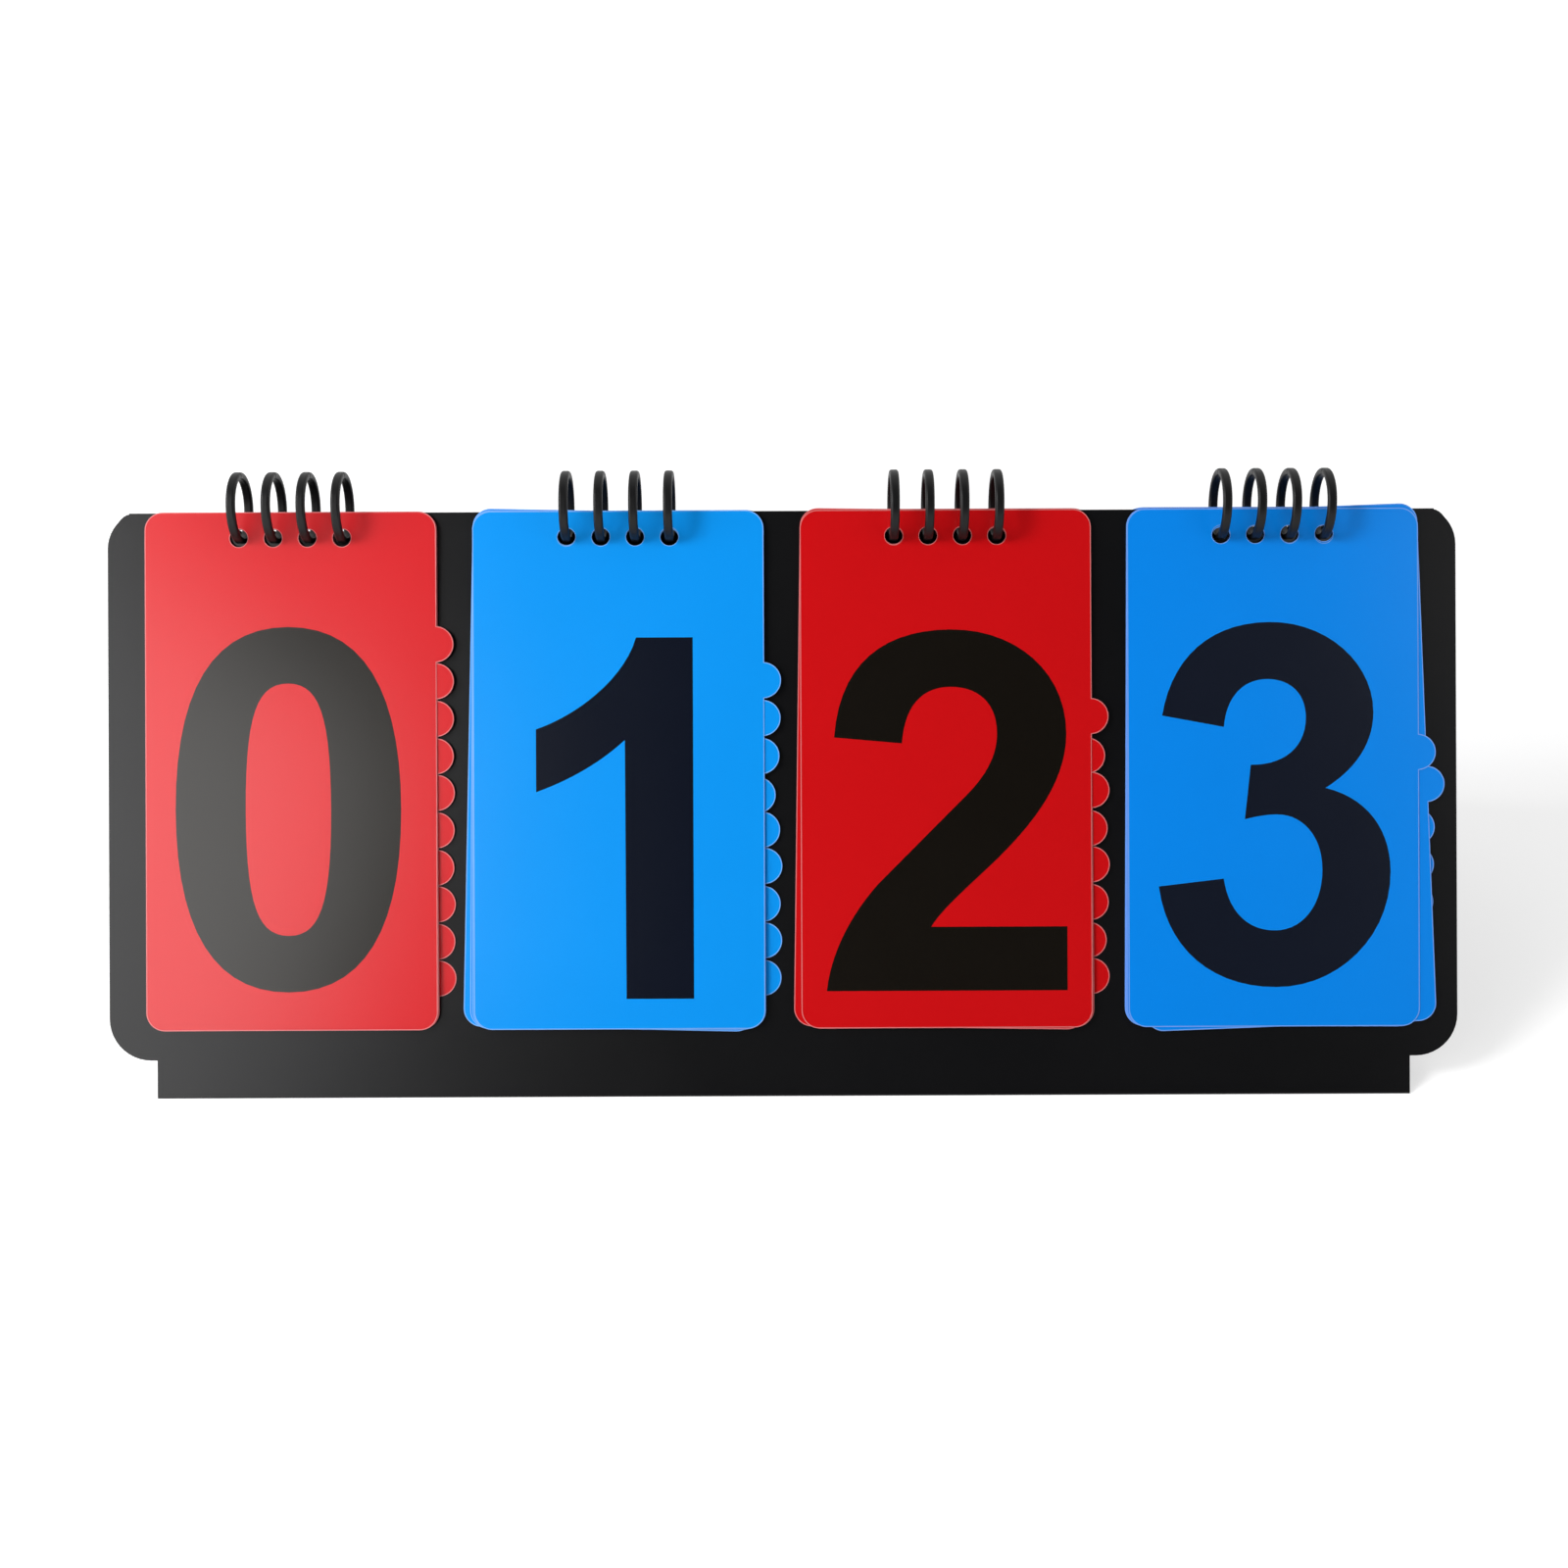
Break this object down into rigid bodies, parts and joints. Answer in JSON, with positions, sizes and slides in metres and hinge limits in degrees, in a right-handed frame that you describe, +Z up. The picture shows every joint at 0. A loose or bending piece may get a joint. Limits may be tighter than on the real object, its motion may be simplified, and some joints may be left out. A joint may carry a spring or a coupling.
{
  "type": "flip scoreboard",
  "caption": "Tabletop flip scoreboard: a folding tent board with rows of tabbed number cards that turn over the ridge on plastic rings.",
  "frame": {"origin": "centre of the base's underside, straight below the ridge", "axes": "+X along the ridge to the right as seen from the front, +Y to the back, +Z up; the front slope faces -Y"},
  "size_m": [0.374, 0.1651, 0.1522],
  "materials": {
    "board": "fine-grained black polypropylene sheet",
    "rings": "moulded dark grey plastic",
    "hook": "black hook fastener pad",
    "loop": "black loop fastener pad",
    "card_red": "glossy red film with printed black digit",
    "card_blue": "glossy blue film with printed black digit"
  },
  "bodies": {
    "front": {"front_panel": "board"},
    "back": {"back_panel": "board", "loop_pads": "loop"},
    "base": {"base_panel": "board"},
    "flap": {"tuck_flap": "board", "hook_pads": "hook"},
    "red_left_rings": {"red_left_rings": "rings"},
    "red_left_card_0": {"red_left_card_0": "card_red"},
    "red_left_card_1": {"red_left_card_1": "card_red"},
    "red_left_card_2": {"red_left_card_2": "card_red"},
    "red_left_card_3": {"red_left_card_3": "card_red"},
    "red_left_card_4": {"red_left_card_4": "card_red"},
    "red_left_card_5": {"red_left_card_5": "card_red"},
    "red_left_card_6": {"red_left_card_6": "card_red"},
    "red_left_card_7": {"red_left_card_7": "card_red"},
    "red_left_card_8": {"red_left_card_8": "card_red"},
    "red_left_card_9": {"red_left_card_9": "card_red"},
    "blue_left_rings": {"blue_left_rings": "rings"},
    "blue_left_card_0": {"blue_left_card_0": "card_blue"},
    "blue_left_card_1": {"blue_left_card_1": "card_blue"},
    "blue_left_card_2": {"blue_left_card_2": "card_blue"},
    "blue_left_card_3": {"blue_left_card_3": "card_blue"},
    "blue_left_card_4": {"blue_left_card_4": "card_blue"},
    "blue_left_card_5": {"blue_left_card_5": "card_blue"},
    "blue_left_card_6": {"blue_left_card_6": "card_blue"},
    "blue_left_card_7": {"blue_left_card_7": "card_blue"},
    "blue_left_card_8": {"blue_left_card_8": "card_blue"},
    "blue_left_card_9": {"blue_left_card_9": "card_blue"},
    "red_right_rings": {"red_right_rings": "rings"},
    "red_right_card_0": {"red_right_card_0": "card_red"},
    "red_right_card_1": {"red_right_card_1": "card_red"},
    "red_right_card_2": {"red_right_card_2": "card_red"},
    "red_right_card_3": {"red_right_card_3": "card_red"},
    "red_right_card_4": {"red_right_card_4": "card_red"},
    "red_right_card_5": {"red_right_card_5": "card_red"},
    "red_right_card_6": {"red_right_card_6": "card_red"},
    "red_right_card_7": {"red_right_card_7": "card_red"},
    "red_right_card_8": {"red_right_card_8": "card_red"},
    "red_right_card_9": {"red_right_card_9": "card_red"},
    "blue_right_rings": {"blue_right_rings": "rings"},
    "blue_right_card_0": {"blue_right_card_0": "card_blue"},
    "blue_right_card_1": {"blue_right_card_1": "card_blue"},
    "blue_right_card_2": {"blue_right_card_2": "card_blue"},
    "blue_right_card_3": {"blue_right_card_3": "card_blue"},
    "blue_right_card_4": {"blue_right_card_4": "card_blue"},
    "blue_right_card_5": {"blue_right_card_5": "card_blue"},
    "blue_right_card_6": {"blue_right_card_6": "card_blue"},
    "blue_right_card_7": {"blue_right_card_7": "card_blue"},
    "blue_right_card_8": {"blue_right_card_8": "card_blue"},
    "blue_right_card_9": {"blue_right_card_9": "card_blue"}
  },
  "joints": [
    {"name": "ridge_fold", "type": "hinge", "parent": "front", "child": "back", "pos_m": [0, 0, 0.14044], "axis": [-1, 0, 0], "range_deg": [0, 50]},
    {"name": "base_fold", "type": "hinge", "parent": "front", "child": "base", "pos_m": [0, -0.08085, 0.0004], "axis": [-1, 0, 0], "range_deg": [0, 50]},
    {"name": "flap_fold", "type": "hinge", "parent": "base", "child": "flap", "pos_m": [0, 0.08351, 0.0004], "axis": [-1, 0, 0], "range_deg": [0, 110]},
    {"name": "red_left_rings_turn", "type": "hinge", "parent": "front", "child": "red_left_rings", "pos_m": [0, 0, 0.14234], "axis": [-1, 0, 0], "continuous": true},
    {"name": "red_left_card_9_flip", "type": "hinge", "parent": "front", "child": "red_left_card_9", "pos_m": [0, 0, 0.14304], "axis": [-1, 0, 0], "range_deg": [0, 300]},
    {"name": "red_left_card_8_flip", "type": "hinge", "parent": "red_left_card_9", "child": "red_left_card_8", "pos_m": [0, 0, 0.14304], "axis": [-1, 0, 0], "range_deg": [0, 300]},
    {"name": "red_left_card_7_flip", "type": "hinge", "parent": "red_left_card_8", "child": "red_left_card_7", "pos_m": [0, 0, 0.14304], "axis": [-1, 0, 0], "range_deg": [0, 300]},
    {"name": "red_left_card_6_flip", "type": "hinge", "parent": "red_left_card_7", "child": "red_left_card_6", "pos_m": [0, 0, 0.14304], "axis": [-1, 0, 0], "range_deg": [0, 300]},
    {"name": "red_left_card_5_flip", "type": "hinge", "parent": "red_left_card_6", "child": "red_left_card_5", "pos_m": [0, 0, 0.14304], "axis": [-1, 0, 0], "range_deg": [0, 300]},
    {"name": "red_left_card_4_flip", "type": "hinge", "parent": "red_left_card_5", "child": "red_left_card_4", "pos_m": [0, 0, 0.14304], "axis": [-1, 0, 0], "range_deg": [0, 300]},
    {"name": "red_left_card_3_flip", "type": "hinge", "parent": "red_left_card_4", "child": "red_left_card_3", "pos_m": [0, 0, 0.14304], "axis": [-1, 0, 0], "range_deg": [0, 300]},
    {"name": "red_left_card_2_flip", "type": "hinge", "parent": "red_left_card_3", "child": "red_left_card_2", "pos_m": [0, 0, 0.14304], "axis": [-1, 0, 0], "range_deg": [0, 300]},
    {"name": "red_left_card_1_flip", "type": "hinge", "parent": "red_left_card_2", "child": "red_left_card_1", "pos_m": [0, 0, 0.14304], "axis": [-1, 0, 0], "range_deg": [0, 300]},
    {"name": "red_left_card_0_flip", "type": "hinge", "parent": "red_left_card_1", "child": "red_left_card_0", "pos_m": [0, 0, 0.14304], "axis": [-1, 0, 0], "range_deg": [0, 300]},
    {"name": "blue_left_rings_turn", "type": "hinge", "parent": "front", "child": "blue_left_rings", "pos_m": [0, 0, 0.14234], "axis": [-1, 0, 0], "continuous": true},
    {"name": "blue_left_card_9_flip", "type": "hinge", "parent": "front", "child": "blue_left_card_9", "pos_m": [0, 0, 0.14304], "axis": [-1, 0, 0], "range_deg": [0, 300]},
    {"name": "blue_left_card_8_flip", "type": "hinge", "parent": "blue_left_card_9", "child": "blue_left_card_8", "pos_m": [0, 0, 0.14304], "axis": [-1, 0, 0], "range_deg": [0, 300]},
    {"name": "blue_left_card_7_flip", "type": "hinge", "parent": "blue_left_card_8", "child": "blue_left_card_7", "pos_m": [0, 0, 0.14304], "axis": [-1, 0, 0], "range_deg": [0, 300]},
    {"name": "blue_left_card_6_flip", "type": "hinge", "parent": "blue_left_card_7", "child": "blue_left_card_6", "pos_m": [0, 0, 0.14304], "axis": [-1, 0, 0], "range_deg": [0, 300]},
    {"name": "blue_left_card_5_flip", "type": "hinge", "parent": "blue_left_card_6", "child": "blue_left_card_5", "pos_m": [0, 0, 0.14304], "axis": [-1, 0, 0], "range_deg": [0, 300]},
    {"name": "blue_left_card_4_flip", "type": "hinge", "parent": "blue_left_card_5", "child": "blue_left_card_4", "pos_m": [0, 0, 0.14304], "axis": [-1, 0, 0], "range_deg": [0, 300]},
    {"name": "blue_left_card_3_flip", "type": "hinge", "parent": "blue_left_card_4", "child": "blue_left_card_3", "pos_m": [0, 0, 0.14304], "axis": [-1, 0, 0], "range_deg": [0, 300]},
    {"name": "blue_left_card_2_flip", "type": "hinge", "parent": "blue_left_card_3", "child": "blue_left_card_2", "pos_m": [0, 0, 0.14304], "axis": [-1, 0, 0], "range_deg": [0, 300]},
    {"name": "blue_left_card_1_flip", "type": "hinge", "parent": "blue_left_card_2", "child": "blue_left_card_1", "pos_m": [0, 0, 0.14304], "axis": [-1, 0, 0], "range_deg": [0, 300]},
    {"name": "blue_left_card_0_flip", "type": "hinge", "parent": "front", "child": "blue_left_card_0", "pos_m": [0, 0, 0.14304], "axis": [-1, 0, 0], "range_deg": [-300, 0]},
    {"name": "red_right_rings_turn", "type": "hinge", "parent": "front", "child": "red_right_rings", "pos_m": [0, 0, 0.14234], "axis": [-1, 0, 0], "continuous": true},
    {"name": "red_right_card_9_flip", "type": "hinge", "parent": "front", "child": "red_right_card_9", "pos_m": [0, 0, 0.14304], "axis": [-1, 0, 0], "range_deg": [0, 300]},
    {"name": "red_right_card_8_flip", "type": "hinge", "parent": "red_right_card_9", "child": "red_right_card_8", "pos_m": [0, 0, 0.14304], "axis": [-1, 0, 0], "range_deg": [0, 300]},
    {"name": "red_right_card_7_flip", "type": "hinge", "parent": "red_right_card_8", "child": "red_right_card_7", "pos_m": [0, 0, 0.14304], "axis": [-1, 0, 0], "range_deg": [0, 300]},
    {"name": "red_right_card_6_flip", "type": "hinge", "parent": "red_right_card_7", "child": "red_right_card_6", "pos_m": [0, 0, 0.14304], "axis": [-1, 0, 0], "range_deg": [0, 300]},
    {"name": "red_right_card_5_flip", "type": "hinge", "parent": "red_right_card_6", "child": "red_right_card_5", "pos_m": [0, 0, 0.14304], "axis": [-1, 0, 0], "range_deg": [0, 300]},
    {"name": "red_right_card_4_flip", "type": "hinge", "parent": "red_right_card_5", "child": "red_right_card_4", "pos_m": [0, 0, 0.14304], "axis": [-1, 0, 0], "range_deg": [0, 300]},
    {"name": "red_right_card_3_flip", "type": "hinge", "parent": "red_right_card_4", "child": "red_right_card_3", "pos_m": [0, 0, 0.14304], "axis": [-1, 0, 0], "range_deg": [0, 300]},
    {"name": "red_right_card_2_flip", "type": "hinge", "parent": "red_right_card_3", "child": "red_right_card_2", "pos_m": [0, 0, 0.14304], "axis": [-1, 0, 0], "range_deg": [0, 300]},
    {"name": "red_right_card_0_flip", "type": "hinge", "parent": "front", "child": "red_right_card_0", "pos_m": [0, 0, 0.14304], "axis": [-1, 0, 0], "range_deg": [-300, 0]},
    {"name": "red_right_card_1_flip", "type": "hinge", "parent": "red_right_card_0", "child": "red_right_card_1", "pos_m": [0, 0, 0.14304], "axis": [-1, 0, 0], "range_deg": [-300, 0]},
    {"name": "blue_right_rings_turn", "type": "hinge", "parent": "front", "child": "blue_right_rings", "pos_m": [0, 0, 0.14234], "axis": [-1, 0, 0], "continuous": true},
    {"name": "blue_right_card_9_flip", "type": "hinge", "parent": "front", "child": "blue_right_card_9", "pos_m": [0, 0, 0.14304], "axis": [-1, 0, 0], "range_deg": [0, 300]},
    {"name": "blue_right_card_8_flip", "type": "hinge", "parent": "blue_right_card_9", "child": "blue_right_card_8", "pos_m": [0, 0, 0.14304], "axis": [-1, 0, 0], "range_deg": [0, 300]},
    {"name": "blue_right_card_7_flip", "type": "hinge", "parent": "blue_right_card_8", "child": "blue_right_card_7", "pos_m": [0, 0, 0.14304], "axis": [-1, 0, 0], "range_deg": [0, 300]},
    {"name": "blue_right_card_6_flip", "type": "hinge", "parent": "blue_right_card_7", "child": "blue_right_card_6", "pos_m": [0, 0, 0.14304], "axis": [-1, 0, 0], "range_deg": [0, 300]},
    {"name": "blue_right_card_5_flip", "type": "hinge", "parent": "blue_right_card_6", "child": "blue_right_card_5", "pos_m": [0, 0, 0.14304], "axis": [-1, 0, 0], "range_deg": [0, 300]},
    {"name": "blue_right_card_4_flip", "type": "hinge", "parent": "blue_right_card_5", "child": "blue_right_card_4", "pos_m": [0, 0, 0.14304], "axis": [-1, 0, 0], "range_deg": [0, 300]},
    {"name": "blue_right_card_3_flip", "type": "hinge", "parent": "blue_right_card_4", "child": "blue_right_card_3", "pos_m": [0, 0, 0.14304], "axis": [-1, 0, 0], "range_deg": [0, 300]},
    {"name": "blue_right_card_0_flip", "type": "hinge", "parent": "front", "child": "blue_right_card_0", "pos_m": [0, 0, 0.14304], "axis": [-1, 0, 0], "range_deg": [-300, 0]},
    {"name": "blue_right_card_1_flip", "type": "hinge", "parent": "blue_right_card_0", "child": "blue_right_card_1", "pos_m": [0, 0, 0.14304], "axis": [-1, 0, 0], "range_deg": [-300, 0]},
    {"name": "blue_right_card_2_flip", "type": "hinge", "parent": "blue_right_card_1", "child": "blue_right_card_2", "pos_m": [0, 0, 0.14304], "axis": [-1, 0, 0], "range_deg": [-300, 0]}
  ],
  "couplings": [
    {"joint": "base_fold", "follows": "ridge_fold", "ratio": 1}
  ]
}
